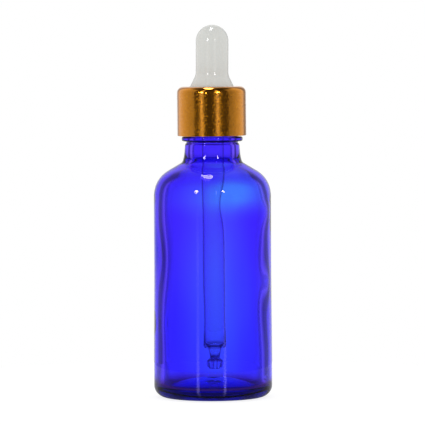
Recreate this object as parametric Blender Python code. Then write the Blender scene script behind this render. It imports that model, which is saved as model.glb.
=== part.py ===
"""Glass dropper bottle: a cobalt glass bottle with a screw neck, and a dropper that screws on it.

Metres, +Z up. The origin is the centre of the ring that the bottle stands on.
The dropper is shown screwed down. Its joints are all on the Z axis.
"""

from math import cos, pi, radians, sin, tan, tau

import bmesh
import bpy

MM = 0.001

# Fits between pieces
SEAT_GAP = 0.25 * MM  # between pieces that are clamped, pressed or pushed together
WELD = 0.001 * MM  # points of one outline that close are one point
THREAD_CLEAR = 0.3 * MM  # radial, crest to root
FLANGE_CLEAR = 0.3 * MM  # the teat's flange inside the inner cap
SLEEVE_CLEAR = 0.55 * MM  # the teat's sleeve inside the bottle's bore
BEAD_CLEAR = 0.35 * MM  # the closed collar above the bead on the neck

# Bottle body
BODY_R = 18.5 * MM
BODY_WALL = 2.0 * MM
SHOULDER_START = 62.6 * MM  # height at which the straight wall ends
SHOULDER_R = 9.0 * MM
SHOULDER_SLOPE = radians(25)  # of the shoulder's cone, from the horizontal
HEEL_R = 3.8 * MM
STAND_RING = 2.6 * MM  # width of the flat ring that the bottle stands on
PUSH_UP = 1.7 * MM  # rise of the hollow under the base
FLOOR_Z = 4.6 * MM  # height of the inner floor
FLOOR_FILLET = 3.4 * MM

# Bottle neck and finish
BORE_R = 5.75 * MM
RIM_WALL = 2.1 * MM
RIM_EDGE_R = 0.6 * MM
NECK_R = 8.5 * MM  # just under the bead
NECK_FLARE = 0.35 * MM  # how much wider the neck is at its foot
NECK_WALL = 2.0 * MM
NECK_FILLET = 3.0 * MM
NECK_LENGTH = 5.0 * MM  # from the fillet's end to the bead
BEAD_PROUD = 0.85 * MM
BEAD_HEIGHT = 1.65 * MM
BEAD_EDGE_R = 0.5 * MM

# Screw thread, right-handed, one start
LEAD = 3.0 * MM
THREAD_DEPTH = 0.95 * MM
THREAD_ROOT_SHARE = 0.5  # of the lead, width of a ridge at its root
THREAD_CREST_SHARE = 0.23  # of the lead, width of a ridge at its crest
BOTTLE_TURNS = 1.5
CAP_TURNS = 1.25
RIDGE_SINK = 0.35 * MM  # how far a ridge is rooted in its wall
RIM_LAND = 1.75 * MM  # plain neck between the thread and the rim
CAP_LAND = 0.95 * MM  # plain bore below the inner cap's thread

# Inner cap and collar shell
CAP_WALL = 1.0 * MM
CAP_TOP = 1.2 * MM
SHELL_WALL = 0.4 * MM
SHELL_EDGE_R = 1.9 * MM
HEM_IN = 0.5 * MM  # the shell's bottom edge is rolled in under the inner cap
HEM_HEIGHT = 0.3 * MM

# Sealing washer
WASHER_HEIGHT = 0.8 * MM

# Rubber bulb
FLANGE_HEIGHT = 1.2 * MM
FOOT_R = 6.7 * MM  # where the bulb's cone leaves the collar
CONE_HEIGHT = 3.3 * MM
BULB_R = 5.1 * MM
BULB_FLARE = 0.08 * MM  # the bulb is that much wider at the cone's top
BULB_HEIGHT = 19.2 * MM  # above the collar
BULB_WALL = 1.2 * MM
SLEEVE_LENGTH = 6.8 * MM  # below the flange
SLEEVE_EDGE = 0.4 * MM
STOP_LIP = 0.5 * MM  # the lip that the pipette's top end butts on
STOP_HEIGHT = 0.8 * MM

# Glass pipette
PIPETTE_R = 3.5 * MM
PIPETTE_WALL = 0.9 * MM
PIPETTE_FIT = 0.2 * MM
PIPETTE_DEPTH = 3.6 * MM  # how far it reaches up past the flange's top
TIP_GAP = 4.3 * MM  # from its tip to the bottle's floor
TIP_LENGTH = 7.1 * MM
# The drawn tip's outline, as shares of the pipette's radius and of the tip's length
TIP_OUTSIDE_SHARES = [
    (1.0, 1.0),
    (0.975, 0.93),
    (0.885, 0.873),
    (0.743, 0.842),
    (0.6, 0.746),
    (0.5, 0.62),
    (0.474, 0.507),
    (0.5, 0.423),
    (0.629, 0.359),
    (0.72, 0.254),
    (0.686, 0.141),
    (0.554, 0.042),
    (0.371, 0.0),
]
TIP_INSIDE_SHARES = [
    (0.177, 0.0),
    (0.177, 0.479),
    (0.486, 0.775),
    (0.686, 0.887),
]

# Number of flat sides that stand for a circle
GLASS_SIDES = 40
CLOSURE_SIDES = 40
PIPETTE_SIDES = 24

# Sizes that follow from those above, from the neck outwards
FINISH_R = BORE_R + RIM_WALL
CREST_R = FINISH_R + THREAD_DEPTH
CAP_ROOT_R = CREST_R + THREAD_CLEAR
CAP_CREST_R = FINISH_R + THREAD_CLEAR
CAP_R = CAP_ROOT_R + CAP_WALL
SHELL_IN_R = CAP_R + SEAT_GAP
SHELL_R = SHELL_IN_R + SHELL_WALL
HOLE_R = FOOT_R + SEAT_GAP
FLANGE_R = CAP_ROOT_R - FLANGE_CLEAR
SLEEVE_R = BORE_R - SLEEVE_CLEAR
SOCKET_R = PIPETTE_R + PIPETTE_FIT
NECK_FOOT_R = NECK_R + NECK_FLARE

# Heights that follow, from the shoulder upwards
TURN_IN = pi / 2 - SHOULDER_SLOPE
CONE_OUT_R = BODY_R - SHOULDER_R * (1 - cos(TURN_IN))
CONE_OUT_Z = SHOULDER_START + SHOULDER_R * sin(TURN_IN)
CONE_IN_R = NECK_FOOT_R + NECK_FILLET * (1 - cos(TURN_IN))
CONE_IN_Z = CONE_OUT_Z + (CONE_OUT_R - CONE_IN_R) * tan(SHOULDER_SLOPE)
NECK_FOOT_Z = CONE_IN_Z + NECK_FILLET * sin(TURN_IN)
BEAD_Z = NECK_FOOT_Z + NECK_LENGTH
BEAD_TOP_Z = BEAD_Z + BEAD_HEIGHT
COLLAR_Z = BEAD_TOP_Z + BEAD_CLEAR
CAP_Z = COLLAR_Z + HEM_HEIGHT + SEAT_GAP
HALF_RIDGE = THREAD_ROOT_SHARE * LEAD / 2
CAP_THREAD_Z = CAP_Z + CAP_LAND + HALF_RIDGE
BOTTLE_THREAD_Z = CAP_THREAD_Z + LEAD / 2
RIM_Z = BOTTLE_THREAD_Z + BOTTLE_TURNS * LEAD + HALF_RIDGE + RIM_LAND
WASHER_Z = RIM_Z + SEAT_GAP
FLANGE_Z = WASHER_Z + WASHER_HEIGHT + SEAT_GAP
FLANGE_TOP_Z = FLANGE_Z + FLANGE_HEIGHT
CAP_PLATE_Z = FLANGE_TOP_Z + SEAT_GAP
CAP_TOP_Z = CAP_PLATE_Z + CAP_TOP
SHELL_PLATE_Z = CAP_TOP_Z + SEAT_GAP
COLLAR_TOP_Z = SHELL_PLATE_Z + SHELL_WALL
PIPETTE_TOP_Z = FLANGE_TOP_Z + PIPETTE_DEPTH
PIPETTE_TIP_Z = FLOOR_Z + TIP_GAP
BULB_TOP_Z = COLLAR_TOP_Z + BULB_HEIGHT


def arc(centre_r, centre_z, radius, start, end, steps):
    """Points along a round stretch of an outline; angles in degrees from +R towards +Z."""
    points = []
    for step in range(steps + 1):
        angle = radians(start + (end - start) * step / steps)
        points.append((centre_r + radius * cos(angle), centre_z + radius * sin(angle)))
    return points


def dome(edge_r, edge_z, rise, steps):
    """Points of a shallow dome, from its middle on the axis out to its edge."""
    ball_r = (edge_r**2 + rise**2) / (2 * rise)
    points = []
    for step in range(steps + 1):
        r = edge_r * step / steps
        points.append((r, edge_z + rise - ball_r + (ball_r**2 - r**2) ** 0.5))
    return points


def new_object(name, bm, datum_z):
    """Make the object of a finished mesh, with its origin on the axis at datum_z."""
    bmesh.ops.translate(bm, verts=bm.verts, vec=(0, 0, -datum_z))
    bmesh.ops.recalc_face_normals(bm, faces=bm.faces)
    mesh = bpy.data.meshes.new(name)
    bm.to_mesh(mesh)
    bm.free()
    mesh.shade_smooth()
    mesh.set_sharp_from_angle(angle=radians(35))
    piece = bpy.data.objects.new(name, mesh)
    piece.location.z = datum_z
    bpy.context.scene.collection.objects.link(piece)
    return piece


def turned(name, outline, sides, datum_z=0):
    """Spin an outline of (radius, height) points round Z into one solid.

    An outline that starts and ends on the axis stays open there, and any other is closed.
    """
    bm = bmesh.new()
    points = [bm.verts.new((r, 0, z)) for r, z in outline]
    edges = [bm.edges.new(pair) for pair in zip(points, points[1:])]
    if outline[0][0] > WELD:
        edges.append(bm.edges.new((points[-1], points[0])))
    bmesh.ops.spin(bm, geom=points + edges, axis=(0, 0, 1), angle=tau, steps=sides)
    bmesh.ops.remove_doubles(bm, verts=bm.verts, dist=WELD)
    return new_object(name, bm, datum_z)


def thread_ridge(name, wall_r, crest_r, start_z, turns, sides, datum_z=0):
    """A helical ridge of trapezoid section that rises by LEAD in a turn and fades at both ends."""
    outwards = 1 if crest_r > wall_r else -1
    root_r = wall_r - outwards * RIDGE_SINK
    root = THREAD_ROOT_SHARE * LEAD / 2
    crest = THREAD_CREST_SHARE * LEAD / 2
    steps = round(turns * sides)
    fade = sides // 8
    bm = bmesh.new()
    rings = []
    for step in range(steps + 1):
        angle = tau * step / sides
        height = min(1, (step + 1) / fade, (steps - step + 1) / fade)
        top_r = wall_r + (crest_r - wall_r) * height
        middle = start_z + LEAD * step / sides
        section = [(root_r, root), (top_r, crest), (top_r, -crest), (root_r, -root)]
        rings.append(
            [bm.verts.new((r * cos(angle), r * sin(angle), middle + dz)) for r, dz in section]
        )
    for ring, following in zip(rings, rings[1:]):
        for a in range(4):
            b = (a + 1) % 4
            bm.faces.new((ring[a], ring[b], following[b], following[a]))
    bm.faces.new(rings[0])
    bm.faces.new(rings[-1])
    return new_object(name, bm, datum_z)


def fuse(piece, ridge):
    """Join a thread ridge to its wall. The ridge stays as a hidden helper."""
    ridge.hide_render = True
    ridge.display_type = "WIRE"
    ridge.parent = piece
    ridge.location.z -= piece.location.z
    joined = piece.modifiers.new("thread", "BOOLEAN")
    joined.operation = "UNION"
    joined.solver = "EXACT"
    joined.object = ridge


def axis_empty(name, height, parent=None):
    """An empty on the Z axis that carries the pieces which move together."""
    empty = bpy.data.objects.new(name, None)
    empty.location.z = height
    if parent:
        empty.parent = parent
        empty.location.z -= parent.location.z
    bpy.context.scene.collection.objects.link(empty)
    return empty


def carry(empty, height, *pieces):
    """Parent pieces to an empty that stands at a height, without moving them."""
    for piece in pieces:
        piece.parent = empty
        piece.location.z -= height


def finish(piece, name, colour, roughness, metallic=0.0, transmission=0.0):
    """Give a piece its own material."""
    material = bpy.data.materials.new(name)
    material.use_nodes = True
    shader = material.node_tree.nodes["Principled BSDF"]
    shader.inputs["Base Color"].default_value = (*colour, 1)
    shader.inputs["Roughness"].default_value = roughness
    shader.inputs["Metallic"].default_value = metallic
    shader.inputs["Transmission Weight"].default_value = transmission
    material.diffuse_color = (*colour, 1)
    piece.data.materials.append(material)


def bottle_outline():
    """From the middle of the base's underside, round the outside, to the middle of the floor."""
    stand_out = BODY_R - HEEL_R
    neck_centre = NECK_FOOT_R + NECK_FILLET
    turn = 90 - SHOULDER_SLOPE * 180 / pi
    inside_r = BODY_R - BODY_WALL
    outline = dome(stand_out - STAND_RING, 0, PUSH_UP, 4)
    outline += arc(stand_out, HEEL_R, HEEL_R, -90, 0, 5)
    outline += arc(BODY_R - SHOULDER_R, SHOULDER_START, SHOULDER_R, 0, turn, 6)
    outline += arc(neck_centre, NECK_FOOT_Z, NECK_FILLET, 180 + turn, 180, 4)
    outline += [(NECK_R, BEAD_Z)]
    bead_r = NECK_R + BEAD_PROUD - BEAD_EDGE_R
    outline += arc(bead_r, BEAD_Z + BEAD_EDGE_R, BEAD_EDGE_R, -90, 0, 2)
    outline += arc(bead_r, BEAD_TOP_Z - BEAD_EDGE_R, BEAD_EDGE_R, 0, 90, 2)
    outline += [(FINISH_R, BEAD_TOP_Z)]
    outline += arc(FINISH_R - RIM_EDGE_R, RIM_Z - RIM_EDGE_R, RIM_EDGE_R, 0, 90, 2)
    outline += arc(BORE_R + RIM_EDGE_R, RIM_Z - RIM_EDGE_R, RIM_EDGE_R, 90, 180, 2)
    outline += [(BORE_R, BEAD_TOP_Z)]
    outline += arc(neck_centre, NECK_FOOT_Z, NECK_FILLET + NECK_WALL, 180, 180 + turn, 4)
    outline += arc(BODY_R - SHOULDER_R, SHOULDER_START, SHOULDER_R - BODY_WALL, turn, 0, 6)
    outline += arc(inside_r - FLOOR_FILLET, FLOOR_Z + FLOOR_FILLET, FLOOR_FILLET, 0, -90, 4)
    outline += [(0, FLOOR_Z)]
    return outline


def make_bottle():
    """Blown cobalt glass: hollow, with a screw finish, a bead under it and a pushed-up base."""
    bottle = turned("bottle", bottle_outline(), GLASS_SIDES)
    ridge = thread_ridge(
        "bottle_ridge", FINISH_R, CREST_R, BOTTLE_THREAD_Z, BOTTLE_TURNS, GLASS_SIDES
    )
    fuse(bottle, ridge)
    finish(bottle, "cobalt_glass", (0.03, 0.02, 0.85), 0.03, transmission=0.9)
    return bottle


def make_sealing_washer():
    """A flat polyethylene ring on the rim, under the rubber bulb's flange."""
    inner_r = SLEEVE_R + SEAT_GAP
    outer_r = FINISH_R
    top_z = WASHER_Z + WASHER_HEIGHT
    outline = [(inner_r, WASHER_Z), (outer_r, WASHER_Z), (outer_r, top_z), (inner_r, top_z)]
    washer = turned("sealing_washer", outline, CLOSURE_SIDES, WASHER_Z)
    finish(washer, "clear_polyethylene", (0.82, 0.84, 0.84), 0.4)
    return washer


def make_rubber_bulb():
    """A moulded rubber teat: domed bulb, cone, clamped flange, and the sleeve round the pipette."""
    dome_z = BULB_TOP_Z - BULB_R
    chamber_r = BULB_R - BULB_WALL
    sleeve_z = FLANGE_Z - SLEEVE_LENGTH
    lip_r = PIPETTE_R - STOP_LIP
    lip_z = PIPETTE_TOP_Z + SEAT_GAP
    outline = arc(0, dome_z, chamber_r, 90, 0, 5)
    outline += [
        (chamber_r, lip_z + STOP_HEIGHT),
        (lip_r, lip_z + STOP_HEIGHT),
        (lip_r, lip_z),
        (SOCKET_R, lip_z),
        (SOCKET_R, sleeve_z),
        (SLEEVE_R - SLEEVE_EDGE, sleeve_z),
        (SLEEVE_R, sleeve_z + SLEEVE_EDGE),
        (SLEEVE_R, FLANGE_Z),
        (FLANGE_R, FLANGE_Z),
        (FLANGE_R, FLANGE_TOP_Z),
        (FOOT_R, FLANGE_TOP_Z),
        (FOOT_R, COLLAR_TOP_Z),
        (BULB_R + BULB_FLARE, COLLAR_TOP_Z + CONE_HEIGHT),
    ]
    outline += arc(0, dome_z, BULB_R, 0, 90, 7)
    bulb = turned("rubber_bulb", outline, CLOSURE_SIDES, FLANGE_Z)
    finish(bulb, "white_rubber", (0.78, 0.78, 0.75), 0.45)
    return bulb


def make_glass_pipette():
    """A straight glass tube with a drawn ball tip, pushed up into the rubber bulb."""
    bore_r = PIPETTE_R - PIPETTE_WALL
    tip_top = PIPETTE_TIP_Z + TIP_LENGTH
    outline = [(PIPETTE_R, PIPETTE_TOP_Z)]
    for share_r, share_z in TIP_OUTSIDE_SHARES + TIP_INSIDE_SHARES:
        outline.append((share_r * PIPETTE_R, PIPETTE_TIP_Z + share_z * TIP_LENGTH))
    outline += [(bore_r, tip_top + PIPETTE_WALL / 2), (bore_r, PIPETTE_TOP_Z)]
    pipette = turned("glass_pipette", outline, PIPETTE_SIDES, PIPETTE_TOP_Z)
    finish(pipette, "clear_glass", (0.92, 0.95, 0.97), 0.03, transmission=0.95)
    return pipette


def make_inner_cap():
    """A moulded polypropylene screw cap, pressed into the shell, with a hole for the bulb."""
    corner_r = SHELL_EDGE_R - SHELL_WALL - SEAT_GAP
    outline = [(CAP_ROOT_R, CAP_Z), (CAP_R, CAP_Z)]
    outline += arc(CAP_R - corner_r, CAP_TOP_Z - corner_r, corner_r, 0, 90, 4)
    outline += [(HOLE_R, CAP_TOP_Z), (HOLE_R, CAP_PLATE_Z), (CAP_ROOT_R, CAP_PLATE_Z)]
    cap = turned("inner_cap", outline, CLOSURE_SIDES, COLLAR_Z)
    ridge = thread_ridge(
        "cap_ridge", CAP_ROOT_R, CAP_CREST_R, CAP_THREAD_Z, CAP_TURNS, CLOSURE_SIDES, COLLAR_Z
    )
    fuse(cap, ridge)
    finish(cap, "white_polypropylene", (0.85, 0.85, 0.83), 0.45)
    return cap


def make_collar_shell():
    """A drawn aluminium cup, gold anodised, with its bottom edge rolled in under the inner cap."""
    hem_r = SHELL_IN_R - HEM_IN
    hem_top = COLLAR_Z + HEM_HEIGHT
    inner_edge_r = SHELL_EDGE_R - SHELL_WALL
    edge_r = SHELL_R - SHELL_EDGE_R
    edge_z = COLLAR_TOP_Z - SHELL_EDGE_R
    outline = [(hem_r, COLLAR_Z), (SHELL_R, COLLAR_Z)]
    outline += arc(edge_r, edge_z, SHELL_EDGE_R, 0, 90, 5)
    outline += [(HOLE_R, COLLAR_TOP_Z), (HOLE_R, SHELL_PLATE_Z)]
    outline += arc(edge_r, edge_z, inner_edge_r, 90, 0, 5)
    outline += [(SHELL_IN_R, hem_top), (hem_r, hem_top)]
    shell = turned("collar_shell", outline, CLOSURE_SIDES, COLLAR_Z)
    finish(shell, "gold_anodised_aluminium", (0.66, 0.38, 0.08), 0.28, metallic=1.0)
    return shell


for old in list(bpy.data.objects):
    bpy.data.objects.remove(old)

make_bottle()

lift_axis = axis_empty("lift_axis", WASHER_Z)
carry(lift_axis, WASHER_Z, make_sealing_washer())

dropper_axis = axis_empty("dropper_axis", FLANGE_Z, lift_axis)
carry(dropper_axis, FLANGE_Z, make_rubber_bulb(), make_glass_pipette())

collar_axis = axis_empty("collar_axis", COLLAR_Z, lift_axis)
carry(collar_axis, COLLAR_Z, make_inner_cap(), make_collar_shell())
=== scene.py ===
"""Looks of the glass dropper bottle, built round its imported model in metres, +Z up."""

from math import atan2, cos, degrees, exp, pi, radians, sin, tan, tau

import bpy
from mathutils import Matrix, Vector, noise


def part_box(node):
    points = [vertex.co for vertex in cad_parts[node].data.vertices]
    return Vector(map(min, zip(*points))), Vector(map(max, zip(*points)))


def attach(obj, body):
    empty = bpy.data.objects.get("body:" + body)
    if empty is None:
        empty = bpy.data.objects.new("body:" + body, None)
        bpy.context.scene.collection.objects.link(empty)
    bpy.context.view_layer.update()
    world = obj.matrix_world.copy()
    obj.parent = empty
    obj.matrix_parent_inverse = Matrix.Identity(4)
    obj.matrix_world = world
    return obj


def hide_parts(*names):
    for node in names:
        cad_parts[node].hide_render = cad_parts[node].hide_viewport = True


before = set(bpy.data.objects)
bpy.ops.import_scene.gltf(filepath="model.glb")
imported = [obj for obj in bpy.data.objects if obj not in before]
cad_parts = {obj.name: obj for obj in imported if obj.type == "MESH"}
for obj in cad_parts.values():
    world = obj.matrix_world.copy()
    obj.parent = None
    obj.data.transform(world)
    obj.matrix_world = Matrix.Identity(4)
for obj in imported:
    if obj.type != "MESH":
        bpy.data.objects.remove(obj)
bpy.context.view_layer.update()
MM = 0.001

# The camera: a long lens, about 1.2 m in front of the bottle and a little above its top.
# The photograph is turned by a quarter of a degree, so the bottle leans a little to the left.
PHOTO_SIZE = 425
CAMERA_PLACE = Vector((0, -1.2, 0.123))
CAMERA_AIM = Vector((0, 0, 0.05768))
PIXELS_PER_METRE = 3200  # at the bottle's axis
SENSOR = 36.0  # millimetres, like the lens
CLIP_START = 10 * MM
LEAN = radians(0.25)

camera_data = bpy.data.cameras.new("photo_camera")
camera = bpy.data.objects.new("photo_camera", camera_data)
bpy.context.scene.collection.objects.link(camera)
sight = CAMERA_AIM - CAMERA_PLACE
camera_data.sensor_width = SENSOR
camera_data.lens = SENSOR * PIXELS_PER_METRE * sight.length / PHOTO_SIZE
camera_data.clip_start = CLIP_START
camera.matrix_world = (
    Matrix.Translation(CAMERA_PLACE)
    @ sight.to_track_quat("-Z", "Y").to_matrix().to_4x4()
    @ Matrix.Rotation(-LEAN, 4, "Z")
)
bpy.context.scene.camera = camera


# The bottle: cobalt-blue soda glass, blown in a two-part mould, in one piece.
# It has a screw finish with a bead under it, a thick heel and a pushed-up base.
bottle_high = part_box("bottle")[1]
BODY_R = bottle_high.x
RIM_Z = bottle_high.z
BODY_WALL = 3.0 * MM
BODY_DRAW = 0.22 * MM  # the body is that much slimmer under its shoulder than at its heel
DRAW_TOP = 44 * MM  # it gets no slimmer above this height
WALL_SWING = 0.25 * MM  # how much the blown wall varies in thickness all over
SWINGS_ROUND = 1.6  # the higher this is, the more swings there are round the bottle
SWING_LENGTH = 18 * MM  # from one swing to the next above it
SWING_FADE_LOW = 14 * MM  # the swings grow over this height above the floor
SWING_FADE_HIGH = 3 * MM  # and die away over this height under the bore's corner
# Where the wall is thicker or thinner inside: degrees to the right of the front, height,
# half its width, half its height and thickness, the last four in millimetres
WALL_LUMPS = [
    (-92, 44, 7.0, 9.0, 0.6),
    (16, 61, 2.6, 5.5, 0.45),
    (30, 58, 5.0, 9.0, 0.3),
    (88, 58, 4.5, 4.5, -0.5),
    (88, 36, 4.5, 5.0, -0.5),
    (-98, 23, 2.5, 2.0, 0.4),
]
SHOULDER_START = 63.3 * MM
SHOULDER_R = 8.6 * MM
SHOULDER_TURN = 61  # degrees from the upright wall to the shoulder's cone
SHOULDER_STEPS = 16
HEEL_R = 3.8 * MM
STAND_RING = 2.6 * MM  # width of the flat ring that the bottle stands on
PUSH_UP = 2.2 * MM
FLOOR_EDGE_Z = 3.3 * MM
FLOOR_RISE = 3.0 * MM
FLOOR_MARK_R = 2.6 * MM  # the hollow that the blown air leaves in the middle of the floor
FLOOR_MARK_DEPTH = 0.8 * MM
FLOOR_FILLET = 1.4 * MM
BORE_R = 5.75 * MM
STRAIGHT_BORE = 3 * MM  # the bore is straight that far below the rim
FINISH_R = 7.85 * MM
FINISH_FILLET = 0.3 * MM
RIM_EDGE_R = 0.6 * MM
NECK_LEAN = 14  # degrees off upright at the neck's foot
NECK_WALL = 2.7 * MM
NECK_FILLET = 1.8 * MM
BORE_CORNER_R = 4.0 * MM
# The outside of the neck above its foot, and the groove under the bead, in millimetres
NECK_POINTS = [
    (9.1, 74.2), (8.93, 74.9), (8.77, 75.8), (8.66, 76.8), (8.57, 78.0), (8.52, 78.75),
    (8.36, 79.15), (8.12, 79.42), (8.05, 79.75), (8.2, 80.0),
]
# The bore from the finish down into the neck, in millimetres
BORE_POINTS = [
    (5.75, 89.0), (5.76, 86.0), (5.85, 83.5), (6.05, 81.0), (6.25, 78.5), (6.33, 76.5), (6.35, 75.0),
]
BEAD_R = 9.52 * MM
BEAD_Z = 80.0 * MM
BEAD_TOP_Z = 81.45 * MM
BEAD_EDGE_R = 0.55 * MM
LEAD = 3.0 * MM
THREAD_DEPTH = 0.95 * MM
THREAD_TURNS = 1.5
RIM_LAND = 1.75 * MM  # plain neck between the thread and the rim
RIDGE_ROOT_SHARE = 0.5  # of the lead, the width of a ridge at its root and at its crest
RIDGE_CREST_SHARE = 0.23
RIDGE_RUN_IN = tau / 8  # a ridge grows and dies away over this angle
SEAM_PROUD = 0.03 * MM
STIPPLE_DEPTH = 0.09 * MM
STIPPLE_TEETH = 64
GLASS_SIDES = 256
ON_AXIS = 1e-7  # a point nearer to the axis than this is on it
SHARP_EDGE = radians(50)  # an edge that turns by more is shaded sharp


def arc(centre_r, centre_z, radius, start, end, steps):
    """Points along a round stretch of an outline; angles in degrees from +R towards +Z."""
    points = []
    for step in range(steps + 1):
        angle = radians(start + (end - start) * step / steps)
        points.append((centre_r + radius * cos(angle), centre_z + radius * sin(angle)))
    return points


def line(start, end, steps):
    """Points along a straight stretch, without its two ends."""
    points = []
    for step in range(1, steps):
        share = step / steps
        points.append(tuple(a + (b - a) * share for a, b in zip(start, end)))
    return points


def dome(edge_r, edge_z, rise, steps):
    """Points of a shallow dome, from its middle on the axis out to its edge."""
    ball_r = (edge_r**2 + rise**2) / (2 * rise)
    points = []
    for step in range(steps + 1):
        r = edge_r * step / steps
        points.append((r, edge_z + rise - ball_r + (ball_r**2 - r**2) ** 0.5))
    return points


def turned(name, outline, sides, shape=None):
    """Turn an outline of (radius, height) points round Z into one closed mesh.

    An outline that starts and ends on the axis gets a point there, and any other is closed.
    shape(k, angle, r, z) gives point k of the outline its own radius and height at an angle.
    """
    open_ends = outline[0][0] < ON_AXIS
    inner = outline[1:-1] if open_ends else outline
    rows = len(inner)
    verts = []
    for side in range(sides):
        angle = tau * side / sides
        for k, (r, z) in enumerate(inner):
            if shape:
                r, z = shape(k + (1 if open_ends else 0), angle, r, z)
            verts.append((r * cos(angle), r * sin(angle), z))
    faces = []
    for side in range(sides):
        here = side * rows
        there = (side + 1) % sides * rows
        for k in range(rows - 1 if open_ends else rows):
            up = (k + 1) % rows
            faces.append((here + k, there + k, there + up, here + up))
    if open_ends:
        first, last = len(verts), len(verts) + 1
        verts += [(0, 0, outline[0][1]), (0, 0, outline[-1][1])]
        for side in range(sides):
            here = side * rows
            there = (side + 1) % sides * rows
            faces.append((first, there, here))
            faces.append((last, here + rows - 1, there + rows - 1))
    mesh = bpy.data.meshes.new(name)
    mesh.from_pydata(verts, [], faces)
    mesh.update()
    mesh.shade_smooth()
    mesh.set_sharp_from_angle(angle=SHARP_EDGE)
    piece = bpy.data.objects.new(name, mesh)
    bpy.context.scene.collection.objects.link(piece)
    return piece


def ridge_height(angle, z, start_z, turns):
    """Share of the full thread height at an angle and a height, for a ridge that climbs by LEAD."""
    best = 0.0
    for turn in range(int(turns) + 2):
        along = angle + tau * turn
        if along > turns * tau:
            continue
        middle = start_z + LEAD * along / tau
        away = abs(z - middle)
        root = RIDGE_ROOT_SHARE * LEAD / 2
        crest = RIDGE_CREST_SHARE * LEAD / 2
        flank = min(1.0, max(0.0, (root - away) / (root - crest)))
        flank = flank * flank * (3 - 2 * flank)
        fade = min(1.0, along / RIDGE_RUN_IN, (turns * tau - along) / RIDGE_RUN_IN)
        best = max(best, flank * fade)
    return best


def smooth_line(points, steps):
    """A Catmull-Rom curve through the points, with steps points to a stretch."""
    ends = [points[0]] + points + [points[-1]]
    smooth = []
    for a, b, c, d in zip(ends, ends[1:], ends[2:], ends[3:]):
        for step in range(steps):
            t = step / steps
            smooth.append(
                tuple(
                    0.5 * (2 * q + (r - p) * t + (2 * p - 5 * q + 4 * r - s) * t**2
                           + (3 * q - p - 3 * r + s) * t**3)
                    for p, q, r, s in zip(a, b, c, d)
                )
            )
    return smooth + [points[-1]]


def relaxed(points, rounds):
    """The same points drawn together round after round, with both ends held."""
    for _ in range(rounds):
        middle = [
            tuple((a + 2 * b + c) / 4 for a, b, c in zip(*three))
            for three in zip(points, points[1:], points[2:])
        ]
        points = [points[0]] + middle + [points[-1]]
    return points


def in_metres(points, low_z=0.0):
    """Points given in millimetres above a height."""
    return [(r * MM, low_z + z * MM) for r, z in points]


def slimmed(z):
    """How much slimmer the body is at a height than at its heel."""
    share = min(1.0, max(0.0, (z - HEEL_R) / (DRAW_TOP - HEEL_R)))
    return BODY_DRAW * share**2 * (3 - 2 * share)


thread_start_z = RIM_Z - RIM_LAND - (THREAD_TURNS + RIDGE_ROOT_SHARE / 2) * LEAD
stand_out = BODY_R - HEEL_R
stand_in = stand_out - STAND_RING
shoulder_r = BODY_R - BODY_DRAW - SHOULDER_R
neck_line = in_metres(NECK_POINTS)
foot_r = neck_line[0][0] + NECK_FILLET * cos(radians(NECK_LEAN))
foot_z = neck_line[0][1] + NECK_FILLET * sin(radians(NECK_LEAN))
shoulder_arc = arc(shoulder_r, SHOULDER_START, SHOULDER_R, 0, SHOULDER_TURN, 20)
foot_arc = arc(foot_r, foot_z, NECK_FILLET, 180 + SHOULDER_TURN, 180 + NECK_LEAN, 10)
upright = line((BODY_R, HEEL_R), (BODY_R, SHOULDER_START), 60)
bead_r = BEAD_R - BEAD_EDGE_R
finish_foot_z = BEAD_TOP_Z + FINISH_FILLET

outside = dome(stand_in, 0, PUSH_UP, 14)
ring_first = len(outside)
outside += line((stand_in, 0), (stand_out, 0), 5)
ring_last = len(outside)
outside += arc(stand_out, HEEL_R, HEEL_R, -90, 0, 14)
outside += [(r - slimmed(z), z) for r, z in upright]
outside += relaxed(shoulder_arc + line(shoulder_arc[-1], foot_arc[0], 9) + foot_arc[:1], 12)
outside += foot_arc[1:]
outside += smooth_line(neck_line, 3)[1:]
outside += arc(bead_r, BEAD_Z + BEAD_EDGE_R, BEAD_EDGE_R, -90, 0, 7)
outside += arc(bead_r, BEAD_TOP_Z - BEAD_EDGE_R, BEAD_EDGE_R, 0, 90, 7)
outside += arc(FINISH_R + FINISH_FILLET, finish_foot_z, FINISH_FILLET, -90, -180, 3)
finish_first = len(outside)
outside += line((FINISH_R, finish_foot_z), (FINISH_R, RIM_Z - RIM_EDGE_R), 56)
finish_last = len(outside)
outside += arc(FINISH_R - RIM_EDGE_R, RIM_Z - RIM_EDGE_R, RIM_EDGE_R, 0, 90, 6)
outside += arc(BORE_R + RIM_EDGE_R, RIM_Z - RIM_EDGE_R, RIM_EDGE_R, 90, 180, 6)

# The inside follows the outside, and its wall thins evenly from the body to the neck
inside = line((BORE_R, RIM_Z - RIM_EDGE_R), (BORE_R, RIM_Z - STRAIGHT_BORE), 3)
inside += smooth_line(in_metres(BORE_POINTS), 4)
bore_end = inside[-1]
cone_r = shoulder_r + (SHOULDER_R - NECK_WALL) * cos(radians(SHOULDER_TURN))
cone_z = SHOULDER_START + (SHOULDER_R - NECK_WALL) * sin(radians(SHOULDER_TURN))
corner_r = bore_end[0] + BORE_CORNER_R
touch_r = corner_r - BORE_CORNER_R * cos(radians(SHOULDER_TURN))
touch_z = cone_z + (cone_r - touch_r) / tan(radians(SHOULDER_TURN))
corner_z = touch_z + BORE_CORNER_R * sin(radians(SHOULDER_TURN))
inside += line(bore_end, (bore_end[0], corner_z), 4)
inside += arc(corner_r, corner_z, BORE_CORNER_R, 180, 180 + SHOULDER_TURN, 12)
corner_end = inside.pop()
inside_shoulder = [corner_end] + line(corner_end, (cone_r, cone_z), 8)
neck_last = len(outside) + len(inside)
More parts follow.
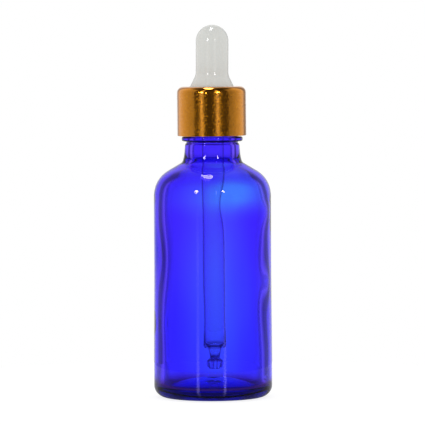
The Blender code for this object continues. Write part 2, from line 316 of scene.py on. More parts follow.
for step in range(SHOULDER_STEPS + 1):
    share = step / SHOULDER_STEPS
    thickness = NECK_WALL + (BODY_WALL - NECK_WALL) * share
    angle = SHOULDER_TURN * (1 - share)
    inside_shoulder += arc(shoulder_r, SHOULDER_START, SHOULDER_R - thickness, angle, angle, 1)[:1]
inside_r = BODY_R - BODY_WALL
wall_line = line((inside_r, SHOULDER_START), (inside_r, FLOOR_EDGE_Z + FLOOR_FILLET), 60)
inside += relaxed(inside_shoulder + [(r - slimmed(z), z) for r, z in wall_line], 60)
wall_last = len(outside) + len(inside)
floor_edge_r = inside_r - FLOOR_FILLET
inside += arc(floor_edge_r, FLOOR_EDGE_Z + FLOOR_FILLET, FLOOR_FILLET, 0, -90, 12)
floor_line = dome(floor_edge_r, FLOOR_EDGE_Z, FLOOR_RISE, 40)[-2::-1]
inside += [
    (r, z - FLOOR_MARK_DEPTH * (0.5 + 0.5 * cos(pi * min(1.0, r / FLOOR_MARK_R))))
    for r, z in floor_line
]
bottle_outline = outside + inside


def bottle_shape(k, angle, r, z):
    """The stipple under the base, the mould seams, the thread and the uneven inner wall."""
    if ring_first <= k < ring_last:
        z += STIPPLE_DEPTH * (0.5 + 0.5 * cos(STIPPLE_TEETH * angle))
    elif ring_last <= k < finish_first:
        # The seam starts where the body is slimmer than its heel, so it stands no further out
        if min(abs(angle - pi / 2), abs(angle - 3 * pi / 2)) < pi / GLASS_SIDES:
            r += SEAM_PROUD * min(1.0, slimmed(z) / SEAM_PROUD)
    elif finish_first <= k < finish_last:
        r += THREAD_DEPTH * ridge_height(angle, z, thread_start_z, THREAD_TURNS)
    elif neck_last <= k < wall_last:
        near = Vector((SWINGS_ROUND * cos(angle), SWINGS_ROUND * sin(angle), z / SWING_LENGTH))
        fade = min(1.0, (z - FLOOR_EDGE_Z) / SWING_FADE_LOW, (corner_z - z) / SWING_FADE_HIGH)
        r += WALL_SWING * fade * noise.noise(near)
        to_right = degrees(angle) + 90
        for middle, height, half_width, half_height, thickness in WALL_LUMPS:
            away = (to_right - middle + 180) % 360 - 180
            across = radians(away) * r / (half_width * MM)
            along = (z - height * MM) / (half_height * MM)
            r -= thickness * MM * exp(-(across**2) - along**2)
    return r, z


def set_sockets(node, **values):
    """Set sockets by name, with an underscore for each space."""
    for name, value in values.items():
        node.inputs[name.replace("_", " ")].default_value = value


def add(tree, kind, links=None, **values):
    """Add a node, set its properties and the sockets named in values, and link its inputs."""
    made = tree.nodes.new(kind)
    for name, value in values.items():
        if name in made.bl_rna.properties:
            setattr(made, name, value)
        else:
            set_sockets(made, **{name: value})
    for name, source in (links or {}).items():
        tree.links.new(source, made.inputs[name])
    return made


def vector_math(tree, operation, vector, numbers):
    """Add three fixed numbers to a vector, subtract them or multiply it by them."""
    made = add(tree, "ShaderNodeVectorMath", {0: vector}, operation=operation)
    made.inputs[1].default_value = numbers
    return made.outputs[0]


def length_of(tree, vector):
    """The length of a vector."""
    return add(tree, "ShaderNodeVectorMath", {0: vector}, operation="LENGTH").outputs["Value"]


def height_of(tree, vector):
    """The Z of a vector."""
    return add(tree, "ShaderNodeSeparateXYZ", {"Vector": vector}).outputs["Z"]


def product(tree, first, second):
    """Multiply two outputs."""
    return add(tree, "ShaderNodeMath", {0: first, 1: second}, operation="MULTIPLY").outputs[0]


def total(tree, *values):
    """Add values up."""
    whole = values[0]
    for value in values[1:]:
        whole = add(tree, "ShaderNodeMath", {0: whole, 1: value}, operation="ADD").outputs[0]
    return whole


def map_range(tree, value, start, end, low=0.0, high=1.0, interpolation_type="LINEAR"):
    """Map a value that runs from start to end onto low to high, and hold it beyond both."""
    made = add(
        tree, "ShaderNodeMapRange", {"Value": value}, interpolation_type=interpolation_type
    )
    set_sockets(made, From_Min=start, From_Max=end, To_Min=low, To_Max=high)
    return made.outputs[0]


def ramp(tree, value, stops):
    """A colour ramp through stops of position and colour."""
    made = add(tree, "ShaderNodeValToRGB", {"Fac": value})
    points = made.color_ramp.elements
    points.remove(points[1])
    for number, (position, colour) in enumerate(stops):
        stop = points[0] if number == 0 else points.new(position)
        stop.position = position
        stop.color = (*colour, 1)
    return made.outputs[0]


def new_group(name, inputs, outputs):
    """An empty shader node group with named sockets; returns the tree, its input and its output."""
    tree = bpy.data.node_groups.new(name, "ShaderNodeTree")
    for label, kind, value in inputs:
        socket = tree.interface.new_socket(label, in_out="INPUT", socket_type=kind)
        socket.default_value = value
    for label, kind in outputs:
        tree.interface.new_socket(label, in_out="OUTPUT", socket_type=kind)
    return tree, tree.nodes.new("NodeGroupInput"), tree.nodes.new("NodeGroupOutput")


def place_group(tree, group, **values):
    """Place a node group in a material, with its own values."""
    made = tree.nodes.new("ShaderNodeGroup")
    made.node_tree = group
    set_sockets(made, **values)
    return made


def new_material(name):
    """A material with a Principled shader; returns it, its tree and the shader."""
    material = bpy.data.materials.new(name)
    material.use_nodes = True
    return material, material.node_tree, material.node_tree.nodes["Principled BSDF"]


FLOAT = "NodeSocketFloat"
VECTOR = "NodeSocketVector"
NOISE_SPAN = (0.3, 0.7)  # nearly all of a noise texture's values lie between these


def uneven_group(name, size, height, detail):
    """A group for an uneven surface: a mask that varies over a size, and its bumps' normal."""
    tree, given, gives = new_group(
        name,
        [("Size", FLOAT, size), ("Height", FLOAT, height)],
        [("Normal", VECTOR), ("Mask", FLOAT)],
    )
    places = add(tree, "ShaderNodeTexCoord")
    per_size = add(tree, "ShaderNodeMath", {1: given.outputs["Size"]}, operation="DIVIDE")
    per_size.inputs[0].default_value = 1.0
    shrunk = add(
        tree,
        "ShaderNodeVectorMath",
        {0: places.outputs["Object"], "Scale": per_size.outputs[0]},
        operation="SCALE",
    )
    swell = add(
        tree, "ShaderNodeTexNoise", {"Vector": shrunk.outputs[0]}, Scale=1.0, Detail=detail
    )
    bump = add(
        tree,
        "ShaderNodeBump",
        {"Height": swell.outputs[0], "Distance": given.outputs["Height"]},
    )
    tree.links.new(bump.outputs[0], gives.inputs["Normal"])
    tree.links.new(swell.outputs[0], gives.inputs["Mask"])
    return tree


def near_to(tree, place, centre, stretch, reach, most):
    """A mask that fades from most at a centre to zero at reach, with each axis stretched."""
    from_centre = vector_math(tree, "SUBTRACT", place, centre)
    away = length_of(tree, vector_math(tree, "MULTIPLY", from_centre, stretch))
    return map_range(tree, away, 0.0, reach, most, 0.0, "SMOOTHSTEP")


def tinted(tree, mask, colour, tint, blend_type):
    """A colour that is mixed with a tint, or multiplied by it, where a mask is high."""
    made = add(
        tree,
        "ShaderNodeMix",
        {"Factor": mask, 6: colour},
        data_type="RGBA",
        blend_type=blend_type,
    )
    made.inputs[7].default_value = (*tint, 1)
    return made.outputs[2]


WAVE_SIZE = 6 * MM
WAVE_HEIGHT = 0.007 * MM
STREAKS_PER_METRE = (90, 90, 16)
STREAK_LIGHTNESS = 0.15
# Painted glow: places where the glass's colour is lighter, as light shining through it makes it
# look: the middle in metres, how much each axis counts, how far and how much
PAINTED_GLOW_PLACES = [
    ((0.001, 0, 0.034), (1, 0, 0.3), 0.017, 0.42),
    ((0.0115, 0, 0.065), (1, 0, 1.6), 0.015, 0.5),
    ((0.002, 0, 0.0635), (0.35, 0, 1), 0.0095, 0.42),
]
GLASS_TINTS = [(0.0, (0.32, 0.2, 1.0)), (0.5, (0.37, 0.5, 1.0)), (0.95, (0.38, 0.92, 1.0))]
# Towards its foot the body is bluer: its colour is multiplied by this, more and more with depth
LOW_TINT = (0.78, 1, 1)
LOW_TINT_FROM, LOW_TINT_TO = 55 * MM, 18 * MM
# The thick heel is painted darker, partly for the deeper colour of its thick glass and partly as
# painted shade: its tint sets in between two heights, and between two radii
HEEL_DEPTH_AND_SHADE = (0.22, 0.04, 0.34)
HEEL_TINT_FROM, HEEL_TINT_TO = 7.2 * MM, 3.5 * MM
HEEL_WALL_FROM, HEEL_WALL_TO = 13 * MM, 16.5 * MM
DEPTH_COLOUR = (0.33, 0.04, 0.94, 1)
DEPTH_DENSITY = 240

ripple = uneven_group("glass_ripple", size=4 * MM, height=0.02 * MM, detail=1.5)

cobalt, tree, shader = new_material("cobalt_glass")
waves = place_group(tree, ripple, Size=WAVE_SIZE, Height=WAVE_HEIGHT)
here = add(tree, "ShaderNodeTexCoord").outputs["Object"]
drawn_out = add(tree, "ShaderNodeMapping", {"Vector": here}, Scale=STREAKS_PER_METRE)
streaks = add(
    tree, "ShaderNodeTexNoise", {"Vector": drawn_out.outputs[0]}, Scale=1.0, Detail=2.0
)
soft_streaks = map_range(tree, streaks.outputs[0], *NOISE_SPAN, 0.0, STREAK_LIGHTNESS)
# How light the glass is: its random streaks, and the painted glow at the places above
streaks_and_painted_glow = total(tree, *[near_to(tree, here, *spot) for spot in PAINTED_GLOW_PLACES], soft_streaks)
height = height_of(tree, here)
low_body = map_range(tree, height, LOW_TINT_FROM, LOW_TINT_TO)
heel = map_range(
    tree, height, HEEL_TINT_FROM, HEEL_TINT_TO, interpolation_type="SMOOTHSTEP"
)
from_axis = length_of(tree, vector_math(tree, "MULTIPLY", here, (1, 1, 0)))
at_wall = map_range(tree, from_axis, HEEL_WALL_FROM, HEEL_WALL_TO)
tint = ramp(tree, streaks_and_painted_glow, GLASS_TINTS)
tint = tinted(tree, low_body, tint, LOW_TINT, "MULTIPLY")
# Painted shade, together with the thick glass's deeper colour, at the heel
tint = tinted(tree, product(tree, heel, at_wall), tint, HEEL_DEPTH_AND_SHADE, "MIX")
tree.links.new(tint, shader.inputs["Base Color"])
tree.links.new(waves.outputs["Normal"], shader.inputs["Normal"])
set_sockets(
    shader, Roughness=0.0, Transmission_Weight=1.0, IOR=1.52, Specular_Tint=(0.5, 0.42, 1.0, 1)
)
glass_depth = add(
    tree, "ShaderNodeVolumeAbsorption", Color=DEPTH_COLOUR, Density=DEPTH_DENSITY
)
tree.links.new(glass_depth.outputs[0], tree.nodes["Material Output"].inputs["Volume"])

bottle = turned("blown_bottle", bottle_outline, GLASS_SIDES, bottle_shape)
bottle.data.materials.append(cobalt)
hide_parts("bottle")
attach(bottle, "bottle")


# The sealing washer: a ring punched from polyethylene sheet, waxy and a little translucent.
# It lies on the bottle's rim, under the rubber bulb's flange.
washer_low, washer_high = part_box("sealing_washer")
WASHER_IN_R = 5.45 * MM
WASHER_EDGE_R = 0.12 * MM
MOULDED_SIDES = 192

grain = uneven_group("moulded_grain", size=0.3 * MM, height=0.01 * MM, detail=3.0)


def moulded_material(name, dark, light, smooth, rough, size, height):
    """A moulded plastic or rubber: two close colours and a roughness that follow a fine grain."""
    material, tree, shader = new_material(name)
    skin = place_group(tree, grain, Size=size, Height=height)
    colour = ramp(tree, skin.outputs["Mask"], zip(NOISE_SPAN, (dark, light)))
    roughness = map_range(tree, skin.outputs["Mask"], 0.0, 1.0, smooth, rough)
    tree.links.new(colour, shader.inputs["Base Color"])
    tree.links.new(roughness, shader.inputs["Roughness"])
    tree.links.new(skin.outputs["Normal"], shader.inputs["Normal"])
    return material, shader


def flat_ring(inner_r, outer_r, low_z, high_z, edge_r, steps=3):
    """The closed outline of a flat ring with rounded edges."""
    points = arc(inner_r + edge_r, low_z + edge_r, edge_r, 180, 270, steps)
    points += arc(outer_r - edge_r, low_z + edge_r, edge_r, 270, 360, steps)
    points += arc(outer_r - edge_r, high_z - edge_r, edge_r, 0, 90, steps)
    points += arc(inner_r + edge_r, high_z - edge_r, edge_r, 90, 180, steps)
    return points


waxy, shader = moulded_material(
    "waxy_polyethylene",
    dark=(0.78, 0.80, 0.80),
    light=(0.86, 0.88, 0.88),
    smooth=0.35,
    rough=0.5,
    size=0.6 * MM,
    height=0.01 * MM,
)
set_sockets(shader, Subsurface_Weight=0.2, Subsurface_Radius=(0.0008, 0.0008, 0.0008))
washer = turned(
    "punched_washer",
    flat_ring(WASHER_IN_R, washer_high.x, washer_low.z, washer_high.z, WASHER_EDGE_R),
    MOULDED_SIDES,
)
washer.data.materials.append(waxy)
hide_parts("sealing_washer")
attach(washer, "seal")


# The pipette: a clear drawn glass tube, pushed up into the rubber bulb.
# Its lower end is drawn down to a neck and blown to a small ball with a fine bore.
pipette_low, pipette_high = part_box("glass_pipette")
PIPETTE_R = pipette_high.x
PIPETTE_BORE_R = 3.05 * MM
PIPETTE_END_R = 0.3 * MM
TIP_LENGTH = 7.1 * MM
PIPETTE_SIDES = 96
# Outlines of the drawn tip: radius and height above the tip's end, in millimetres
TIP_OUTSIDE = [
    (3.5, 7.1), (3.44, 6.75), (3.2, 6.5), (2.3, 6.35), (2.05, 6.1), (1.85, 5.4), (1.6, 4.4),
    (1.45, 3.6), (1.62, 3.05), (2.2, 2.6), (2.52, 1.85), (2.42, 1.0), (1.95, 0.3), (1.3, 0.0),
]
TIP_INSIDE = [
    (0.7, 0.0), (0.66, 1.6), (0.68, 3.1), (1.1, 3.9), (1.5, 5.1), (1.72, 6.1), (2.0, 6.9),
    (2.75, 7.35), (3.05, 7.9),
]
HANG = radians(0.31)  # the tube hangs that far off plumb, tip to the right
HANG_AT_TOP = 0.1 * MM  # and its top end sits that far to the right
CLEAR_TINTS = [(0.0, (0.93, 0.96, 0.97)), (1.0, (0.98, 0.99, 0.99))]

pipette_top_z = pipette_high.z
straight_top_z = pipette_top_z - PIPETTE_END_R
end_arc = arc((PIPETTE_R + PIPETTE_BORE_R) / 2, straight_top_z, PIPETTE_END_R, 180, 0, 6)
widen = (PIPETTE_R - PIPETTE_BORE_R) / (end_arc[-1][0] - end_arc[0][0])
pipette_outline = [(PIPETTE_BORE_R + (r - end_arc[0][0]) * widen, z) for r, z in end_arc]
pipette_outline += line(
    (PIPETTE_R, straight_top_z), (PIPETTE_R, pipette_low.z + TIP_LENGTH), 12
)
pipette_outline += smooth_line(in_metres(TIP_OUTSIDE, pipette_low.z), 4)
pipette_outline += smooth_line(in_metres(TIP_INSIDE, pipette_low.z), 4)
pipette_outline += line(pipette_outline[-1], (PIPETTE_BORE_R, straight_top_z), 12)
pipette_outline.reverse()


def lean(piece, pivot, angle, aside=0.0):
    """Lean a piece's mesh to the right about a pivot, and move it to the right."""
    piece.data.transform(
        Matrix.Translation(pivot + Vector((aside, 0, 0)))
        @ Matrix.Rotation(angle, 4, "Y")
        @ Matrix.Translation(-pivot)
    )


clear_glass, tree, shader = new_material("drawn_clear_glass")
waves = place_group(tree, ripple, Size=3 * MM, Height=0.008 * MM)
tree.links.new(ramp(tree, waves.outputs["Mask"], CLEAR_TINTS), shader.inputs["Base Color"])
tree.links.new(waves.outputs["Normal"], shader.inputs["Normal"])
set_sockets(shader, Roughness=0.0, Transmission_Weight=1.0, IOR=1.5)

pipette = turned("drawn_pipette", pipette_outline, PIPETTE_SIDES)
pipette.data.materials.append(clear_glass)
lean(pipette, Vector((0, 0, pipette_top_z)), -HANG, HANG_AT_TOP)
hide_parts("glass_pipette")
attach(pipette, "dropper")


# The bulb: a teat of white rubber, moulded in one piece with its cone, flange and sleeve.
# The inner cap clamps the flange, and the sleeve grips the pipette.
bulb_low, bulb_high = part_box("rubber_bulb")
COLLAR_TOP_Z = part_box("collar_shell")[1].z
BULB_R = 5.1 * MM
BULB_WALL = 1.2 * MM
CONE_HEIGHT = 3.55 * MM
CONE_FILLET = 4.2 * MM
FOOT_R = 6.85 * MM  # where the cone leaves the collar
BULB_LEAN = radians(0.4)  # the bulb leans that far to the right
SLEEVE_R = 5.2 * MM
SLEEVE_EDGE_R = 0.4 * MM
SOCKET_R = 3.7 * MM
SOCKET_EDGE_R = 0.2 * MM
LIP_R = 3.0 * MM  # of the lip that the pipette's top end butts on
LIP_HEIGHT = 0.8 * MM
LIP_GAP = 0.25 * MM
FLANGE_R = bulb_high.x
FLANGE_Z = 93.8 * MM
FLANGE_HEIGHT = 1.2 * MM
FLANGE_EDGE_R = 0.25 * MM

dome_z = bulb_high.z - BULB_R
chamber_r = BULB_R - BULB_WALL
lip_z = pipette_top_z + LIP_GAP
flange_top_z = FLANGE_Z + FLANGE_HEIGHT
cone_top_z = COLLAR_TOP_Z + CONE_HEIGHT
cone_slope = degrees(atan2(FOOT_R - BULB_R, CONE_HEIGHT))
crease = CONE_FILLET * tan(radians(cone_slope) / 2)
fillet_r = BULB_R + CONE_FILLET
bulb_outline = arc(0, dome_z, chamber_r, 90, 0, 16)
bulb_outline += line((chamber_r, dome_z), (chamber_r, lip_z + LIP_HEIGHT), 6)
bulb_outline += arc(LIP_R + LIP_HEIGHT / 2, lip_z + LIP_HEIGHT / 2, LIP_HEIGHT / 2, 90, 270, 8)
bulb_outline += [(SOCKET_R, lip_z)]
bulb_outline += line((SOCKET_R, lip_z), (SOCKET_R, bulb_low.z), 6)
socket_edge_z = bulb_low.z + SOCKET_EDGE_R
sleeve_edge_z = bulb_low.z + SLEEVE_EDGE_R
bulb_outline += arc(SOCKET_R + SOCKET_EDGE_R, socket_edge_z, SOCKET_EDGE_R, 180, 270, 3)
bulb_outline += arc(SLEEVE_R - SLEEVE_EDGE_R, sleeve_edge_z, SLEEVE_EDGE_R, 270, 360, 5)
bulb_outline += line((SLEEVE_R, sleeve_edge_z), (SLEEVE_R, FLANGE_Z), 5)
bulb_outline += [(SLEEVE_R, FLANGE_Z)]
flange_mid = FLANGE_R - FLANGE_EDGE_R
bulb_outline += arc(flange_mid, FLANGE_Z + FLANGE_EDGE_R, FLANGE_EDGE_R, 270, 360, 4)
bulb_outline += arc(flange_mid, flange_top_z - FLANGE_EDGE_R, FLANGE_EDGE_R, 0, 90, 4)
bulb_outline += [(FOOT_R, flange_top_z)]
crease_arc = arc(fillet_r, cone_top_z + crease, CONE_FILLET, 180 + cone_slope, 180, 8)
bulb_outline += [(FOOT_R, COLLAR_TOP_Z)]
bulb_outline += line((FOOT_R, COLLAR_TOP_Z), crease_arc[0], 8)
bulb_outline += crease_arc
bulb_outline += line(crease_arc[-1], (BULB_R, dome_z), 24)
bulb_outline += arc(0, dome_z, BULB_R, 0, 90, 24)

rubber, shader = moulded_material(
    "white_rubber",
    dark=(0.66, 0.665, 0.635),
    light=(0.70, 0.705, 0.675),
    smooth=0.08,
    rough=0.14,
    size=0.5 * MM,
    height=0.003 * MM,
)
set_sockets(
    shader,
    Subsurface_Weight=0.15,
    Subsurface_Radius=(0.001, 0.0009, 0.0008),
    Specular_IOR_Level=0.35,
)
bulb = turned("moulded_bulb", bulb_outline, MOULDED_SIDES)
bulb.data.materials.append(rubber)
lean(bulb, Vector((0, 0, flange_top_z)), BULB_LEAN)
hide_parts("rubber_bulb")
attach(bulb, "dropper")


# The inner cap: moulded polypropylene, with the screw thread inside, pressed into the shell.
# Only its lower edge shows, and its thread when the dropper is taken off.
cap_low, cap_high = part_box("inner_cap")
CAP_R = cap_high.x
CAP_ROOT_R = 9.1 * MM
CAP_CREST_R = 8.15 * MM
CAP_CORNER_R = 1.25 * MM
CAP_EDGE_R = 0.15 * MM
CAP_PLATE_Z = 95.24 * MM  # the underside of its top plate
CAP_THREAD_Z = 83.995 * MM  # where the middle of its thread starts
CAP_TURNS = 1.25
HOLE_R = 6.95 * MM  # of the hole for the bulb

cap_edge_z = cap_low.z + CAP_EDGE_R
cap_outline = arc(CAP_ROOT_R + CAP_EDGE_R, cap_edge_z, CAP_EDGE_R, 180, 270, 3)
cap_outline += arc(CAP_R - CAP_EDGE_R, cap_edge_z, CAP_EDGE_R, 270, 360, 3)
cap_outline += arc(CAP_R - CAP_CORNER_R, cap_high.z - CAP_CORNER_R, CAP_CORNER_R, 0, 90, 8)
cap_outline += [(HOLE_R, cap_high.z), (HOLE_R, CAP_PLATE_Z), (CAP_ROOT_R, CAP_PLATE_Z)]
cap_thread_first = len(cap_outline)
cap_outline += line((CAP_ROOT_R, CAP_PLATE_Z), (CAP_ROOT_R, cap_edge_z), 64)


def cap_shape(k, angle, r, z):
    """The thread that stands in from the cap's bore."""
    if k >= cap_thread_first:
        r -= (CAP_ROOT_R - CAP_CREST_R) * ridge_height(angle, z, CAP_THREAD_Z, CAP_TURNS)
    return r, z


moulded, shader = moulded_material(
    "moulded_polypropylene",
    dark=(0.80, 0.80, 0.78),
    light=(0.86, 0.86, 0.84),
    smooth=0.35,
    rough=0.5,
    size=0.5 * MM,
    height=0.01 * MM,
)
cap = turned("moulded_inner_cap", cap_outline, MOULDED_SIDES, cap_shape)
cap.data.materials.append(moulded)
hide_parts("inner_cap")
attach(cap, "closure")


# The collar: a deep-drawn aluminium cup, finely blasted and anodised gold.
# Its top edge is rounded, and its bottom edge is rolled in under the inner cap.
shell_low, shell_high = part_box("collar_shell")
SHELL_R = shell_high.x
SHELL_WALL = 0.4 * MM
SHELL_EDGE_R = 1.9 * MM
HEM_IN = 0.5 * MM
HEM_HEIGHT = 0.3 * MM
HEM_EDGE_R = 0.13 * MM
SHELL_SIDES = 256
PITS_PER_METRE = 6000
PIT_TILT = 0.09  # how far the blasted surface's facets lean
PIT_SPREAD = 2  # the higher this is, the fewer of the facets lean far
# The rounded top edge is burnished: the pits fade out between these Zs of the surface's normal
SMOOTH_FROM, SMOOTH_AT = 0.05, 0.4
COLLAR_ASIDE = -0.14 * MM  # the collar sits that far to the left, and leans left
COLLAR_LEAN = radians(-0.4)
HOLE_EDGE_R = 0.1 * MM
GOLDS = [(0.0, (0.62, 0.225, 0.009)), (1.0, (0.74, 0.29, 0.018))]
BLAST_SMOOTH, BLAST_ROUGH = 0.05, 0.11

shell_in_r = SHELL_R - SHELL_WALL
hem_r = shell_in_r - HEM_IN
hem_top = shell_low.z + HEM_HEIGHT
edge_r = SHELL_R - SHELL_EDGE_R
edge_z = shell_high.z - SHELL_EDGE_R
hem_edge_z = shell_low.z + HEM_EDGE_R
shell_outline = arc(hem_r + HEM_EDGE_R, hem_edge_z, HEM_EDGE_R, 180, 270, 3)
shell_outline += arc(SHELL_R - HEM_EDGE_R, hem_edge_z, HEM_EDGE_R, 270, 360, 4)
shell_outline += line((SHELL_R, hem_edge_z), (SHELL_R, edge_z), 12)
shell_outline += arc(edge_r, edge_z, SHELL_EDGE_R, 0, 90, 16)
shell_outline += line((edge_r, shell_high.z), (HOLE_R, shell_high.z), 4)
shell_outline += arc(HOLE_R + HOLE_EDGE_R, shell_high.z - HOLE_EDGE_R, HOLE_EDGE_R, 90, 180, 3)
shell_outline += [(HOLE_R, shell_high.z - SHELL_WALL)]
shell_outline += arc(edge_r, edge_z, SHELL_EDGE_R - SHELL_WALL, 90, 0, 12)
shell_outline += line((shell_in_r, edge_z), (shell_in_r, hem_top), 6)
shell_outline += [(shell_in_r, hem_top), (hem_r + HEM_EDGE_R, hem_top)]

gold, tree, shader = new_material("gold_anodised_aluminium")
here = add(tree, "ShaderNodeTexCoord").outputs["Object"]
pits = add(tree, "ShaderNodeTexVoronoi", {"Vector": here}, Scale=PITS_PER_METRE).outputs["Color"]
facing = add(tree, "ShaderNodeNewGeometry").outputs["Normal"]
either_way = add(tree, "ShaderNodeVectorMath", {0: pits}, operation="MULTIPLY_ADD")
either_way.inputs[1].default_value = (2, 2, 1)
either_way.inputs[2].default_value = (-1, -1, -0.5)
how_far = length_of(tree, either_way.outputs[0])
seldom_far = add(tree, "ShaderNodeMath", {0: how_far}, operation="POWER")
seldom_far.inputs[1].default_value = PIT_SPREAD
pit_tilt = map_range(tree, height_of(tree, facing), SMOOTH_FROM, SMOOTH_AT, PIT_TILT, 0.0)
tilt_size = product(tree, seldom_far.outputs[0], pit_tilt)
tilt = add(
    tree,
    "ShaderNodeVectorMath",
    {0: either_way.outputs[0], "Scale": tilt_size},
    operation="SCALE",
)
tilted = add(tree, "ShaderNodeVectorMath", {0: facing, 1: tilt.outputs[0]}, operation="ADD")
pitted = add(tree, "ShaderNodeVectorMath", {0: tilted.outputs[0]}, operation="NORMALIZE")
fine_grain = place_group(tree, grain, Size=0.12 * MM, Height=0.002 * MM)
matt = map_range(tree, fine_grain.outputs["Mask"], 0.0, 1.0, BLAST_SMOOTH, BLAST_ROUGH)
tree.links.new(ramp(tree, pits, GOLDS), shader.inputs["Base Color"])
tree.links.new(matt, shader.inputs["Roughness"])
tree.links.new(pitted.outputs[0], shader.inputs["Normal"])
set_sockets(shader, Metallic=1.0, Coat_Weight=0.28, Coat_Roughness=0.08, Coat_IOR=1.6)

shell = turned("drawn_collar", shell_outline, SHELL_SIDES)
shell.data.materials.append(gold)
lean(shell, Vector((0, 0, (shell_low.z + shell_high.z) / 2)), COLLAR_LEAN, COLLAR_ASIDE)
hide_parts("collar_shell")
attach(shell, "closure")


# The table: a pale floor that shows white and keeps the bottle's soft shadow.
# Metal and glass see it as they see the studio round it, so that no edge shows in them.
TABLE_R = 120 * MM
TABLE_DROP = 0.1 * MM  # the bottle stands that far above it, so that no faces coincide
TABLE_SIDES = 96
SEEN_FROM = Vector((0, -0.0093, 0.01))  # from where the table looks like the studio round it
# How bright the studio is as metal mirrors it, as glass mirrors it, as glass shows what is behind
# it, and high up behind glass, and how it lights all else: degrees to the right of the camera, level
SEEN_IN_METAL = [
    (-180, 0.95), (-168, 0.9), (-160, 0.55), (-149, 0.5), (-138, 1.05), (-109, 0.85), (-80, 0.58),
    (-61.5, 0.52), (-59, 0.09), (-44, 0.1), (-38.5, 0.5), (-33.5, 1.75), (-28.5, 0.5),
    (-22.5, 0.1), (-10, 0.06), (9, 0.08), (15.5, 0.5), (20.5, 1.75), (25.5, 0.5), (33, 0.1),
    (58, 0.08), (60, 0.35), (80, 0.5), (109, 0.85), (131, 1.05), (137, 0.45), (145, 0.3),
    (160, 0.45), (168, 0.9), (180, 0.95),
]
SEEN_IN_GLASS = [
    (-180, 0.62), (-160, 0.68), (-146, 0.35), (-125, 0.3), (-110, 0.12), (-62, 0.08), (62, 0.08),
    (110, 0.12), (125, 0.3), (142, 0.4), (152, 0.68), (180, 0.62),
]
SEEN_THROUGH_GLASS = [
    (-180, 1.2), (-158, 1.2), (-150, 0.35), (-140, 0.35), (-130, 1.15), (0, 1.2), (130, 1.15),
    (140, 0.35), (150, 0.35), (158, 1.2), (180, 1.2),
]
SEEN_HIGH_UP = [(-180, 0.65), (-60, 0.65), (0, 0.6), (50, 0.2), (150, 0.2), (180, 0.65)]
LIT_BY = [(-180, 0.88), (-90, 0.97), (0, 1.0), (90, 0.92), (180, 0.88)]
# The two lit strips in front, whose thin reflections run down the lower glass
STANDS = [(-33, 0), (-30.5, 1), (-28.5, 1), (-26, 0), (19.5, 0), (22, 1), (24, 1), (26.5, 0)]
STANDS_GLOW = 3.3
# Slopes between which a part of the studio sets in: each is the Z of a direction of length 1
STANDS_TOP = (-0.052, -0.1)
STANDS_FOOT = (-0.75, -0.5)
OVERHEAD = (0.75, 0.87)
OVERHEAD_IN_METAL = 0.15
ROOF = (0.15, 0.5)
ROOF_IN_GLASS = 0.6
DOWNWARD = (-0.3, -0.15)
DOWN_THROUGH_GLASS = 0.8
UPWARD = (0.35, 0.65)
# Painted shadow: round the bottle's foot the table glows less in metal, through glass and in the
# light it gives; the camera sees no change
NEAR_BOTTLE = (20 * MM, 80 * MM)  # the table glows less near the bottle, between these distances
NEAR_GLOW, FAR_GLOW = 0.3, 0.85
TABLE_GLOW = 0.84  # seen by the camera, so that with the lamps it shows white
TABLE_GREY = 0.25

surround, given, gives = new_group(
    "surround",
    [("Direction", VECTOR, (0, 0, 0))],
    [("Lit", FLOAT), ("In metal", FLOAT), ("In glass", FLOAT), ("Through glass", FLOAT)],
)
direction = given.outputs["Direction"]
unit = add(surround, "ShaderNodeVectorMath", {0: direction}, operation="NORMALIZE")
parts = add(surround, "ShaderNodeSeparateXYZ", {"Vector": unit.outputs[0]})
to_front = add(surround, "ShaderNodeMath", {0: parts.outputs["Y"]}, operation="MULTIPLY")
to_front.inputs[1].default_value = -1
azimuth = add(
    surround,
    "ShaderNodeMath",
    {0: parts.outputs["X"], 1: to_front.outputs[0]},
    operation="ARCTAN2",
)
turn_share = map_range(surround, azimuth.outputs[0], -pi, pi)


def round_ramp(stops):
    """A ramp over the azimuth: stops of degrees to the right of the camera and brightness."""
    greys = [((angle + 180) / 360, (level, level, level)) for angle, level in stops]
    return ramp(surround, turn_share, greys)


def by_slope(slopes, low=0.0, high=1.0):
    """A value that goes from low to high between two slopes."""
    return map_range(surround, parts.outputs["Z"], *slopes, low, high)


stands_glow = product(surround, by_slope(STANDS_TOP, 0.0, STANDS_GLOW), by_slope(STANDS_FOOT))
stands = product(surround, round_ramp(STANDS), stands_glow)
overhead = by_slope(OVERHEAD, 1.0, OVERHEAD_IN_METAL)
metal_sees = product(surround, round_ramp(SEEN_IN_METAL), overhead)
glass_round = product(surround, round_ramp(SEEN_IN_GLASS), by_slope(ROOF, 1.0, ROOF_IN_GLASS))
high_up = add(
    surround,
    "ShaderNodeMix",
    {"Factor": by_slope(UPWARD), "B": round_ramp(SEEN_HIGH_UP)},
    data_type="FLOAT",
)
high_up.inputs["A"].default_value = 1.0
backdrop = product(surround, round_ramp(SEEN_THROUGH_GLASS), high_up.outputs[0])
glass_shows = product(surround, backdrop, by_slope(DOWNWARD, DOWN_THROUGH_GLASS, 1.0))
surround.links.new(round_ramp(LIT_BY), gives.inputs["Lit"])
surround.links.new(metal_sees, gives.inputs["In metal"])
surround.links.new(total(surround, glass_round, stands), gives.inputs["In glass"])
surround.links.new(glass_shows, gives.inputs["Through glass"])


def pick(tree, path, ray, otherwise, then):
    """Choose between two values by the kind of ray."""
    made = add(tree, "ShaderNodeMix", {"Factor": path.outputs[ray]}, data_type="FLOAT")
    for socket, value in (("A", otherwise), ("B", then)):
        if isinstance(value, float):
            made.inputs[socket].default_value = value
        else:
            tree.links.new(value, made.inputs[socket])
    return made.outputs[0]


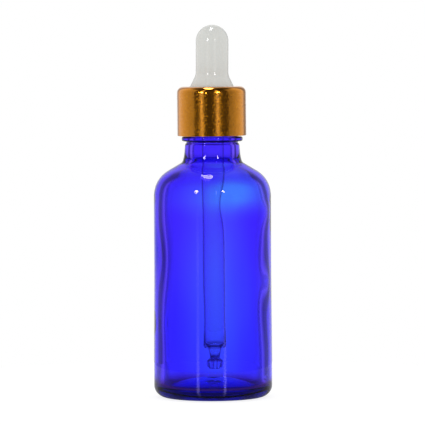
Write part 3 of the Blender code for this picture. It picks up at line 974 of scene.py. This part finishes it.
rim = [tau * side / TABLE_SIDES for side in range(TABLE_SIDES)]
table_mesh = bpy.data.meshes.new("table")
table_mesh.from_pydata(
    [(TABLE_R * cos(angle), TABLE_R * sin(angle), -TABLE_DROP) for angle in rim],
    [],
    [tuple(range(TABLE_SIDES))],
)
table = bpy.data.objects.new("table", table_mesh)
bpy.context.scene.collection.objects.link(table)

white_table = bpy.data.materials.new("white_table")
white_table.use_nodes = True
tree = white_table.node_tree
tree.nodes.clear()
place = add(tree, "ShaderNodeNewGeometry").outputs["Position"]
around = place_group(tree, surround)
tree.links.new(vector_math(tree, "SUBTRACT", place, SEEN_FROM), around.inputs["Direction"])
glow_with_painted_shadow = map_range(tree, length_of(tree, place), *NEAR_BOTTLE, NEAR_GLOW, FAR_GLOW)
path = add(tree, "ShaderNodeLightPath")
glow = pick(tree, path, "Is Glossy Ray", around.outputs["Lit"], around.outputs["In metal"])
glow = product(tree, glow, glow_with_painted_shadow)
shown = product(tree, around.outputs["Through glass"], glow_with_painted_shadow)
glow = pick(tree, path, "Is Singular Ray", glow, around.outputs["In glass"])
glow = pick(tree, path, "Is Transmission Ray", glow, shown)
glow = pick(tree, path, "Is Camera Ray", glow, TABLE_GLOW)
shine = add(tree, "ShaderNodeEmission", {"Color": glow})
white = add(tree, "ShaderNodeBsdfDiffuse", Color=(TABLE_GREY, TABLE_GREY, TABLE_GREY, 1))
both = add(tree, "ShaderNodeAddShader", {0: shine.outputs[0], 1: white.outputs[0]})
add(tree, "ShaderNodeOutputMaterial", {"Surface": both.outputs[0]})
table_mesh.materials.append(white_table)


# The studio: white all round for the camera, and for metal a pale surround with a dark front.
# Seen through glass, a dark gap parts the white backdrop from the white panels at its sides.
world = bpy.data.worlds.new("studio")
bpy.context.scene.world = world
world.use_nodes = True
tree = world.node_tree
tree.nodes.clear()
way = add(tree, "ShaderNodeTexCoord")
around = place_group(tree, surround)
tree.links.new(way.outputs["Generated"], around.inputs["Direction"])
path = add(tree, "ShaderNodeLightPath")
seen = pick(tree, path, "Is Glossy Ray", around.outputs["Lit"], around.outputs["In metal"])
seen = pick(tree, path, "Is Singular Ray", seen, around.outputs["In glass"])
seen = pick(tree, path, "Is Transmission Ray", seen, around.outputs["Through glass"])
seen = pick(tree, path, "Is Camera Ray", seen, 1.0)
sky = add(tree, "ShaderNodeBackground", {"Color": seen})
add(tree, "ShaderNodeOutputWorld", {"Surface": sky.outputs[0]})


# The lamps: two small ones in front, to the left and right of the camera, and one overhead.
LAMPS = [("left_lamp", -32, 0.12), ("right_lamp", 21.5, 0.11)]  # degrees to the right, and watts
LAMP_DISTANCE = 0.24
LAMP_HEIGHT = 0.153
LAMP_SIZE = (0.03, 0.042)
TOP_PLACE = Vector((-0.055, 0.07, 0.75))
TOP_SIZE = (0.17, 0.38)  # from side to side and from front to back
TOP_POWER = 2.1
LIT_POINT = Vector((0, 0, 0.09))


def lamp(name, place, size, power):
    """A soft oval lamp that points at the dropper, for highlights on metal, rubber and glass."""
    light = bpy.data.lights.new(name, "AREA")
    light.shape = "ELLIPSE"
    light.size, light.size_y = size
    light.energy = power
    holder = bpy.data.objects.new(name, light)
    bpy.context.scene.collection.objects.link(holder)
    holder.location = place
    holder.rotation_euler = (LIT_POINT - place).to_track_quat("-Z", "Y").to_euler()
    holder.visible_camera = False
    holder.visible_diffuse = False
    return holder


for name, side, power in LAMPS:
    across = LAMP_DISTANCE * sin(radians(side))
    ahead = LAMP_DISTANCE * cos(radians(side))
    lamp(name, Vector((across, -ahead, LAMP_HEIGHT)), LAMP_SIZE, power)
top_lamp = lamp("top_lamp", TOP_PLACE, TOP_SIZE, TOP_POWER)
top_lamp.rotation_euler.rotate_axis("Z", atan2(TOP_PLACE.x, TOP_PLACE.y))

bpy.context.scene.view_settings.view_transform = "Standard"
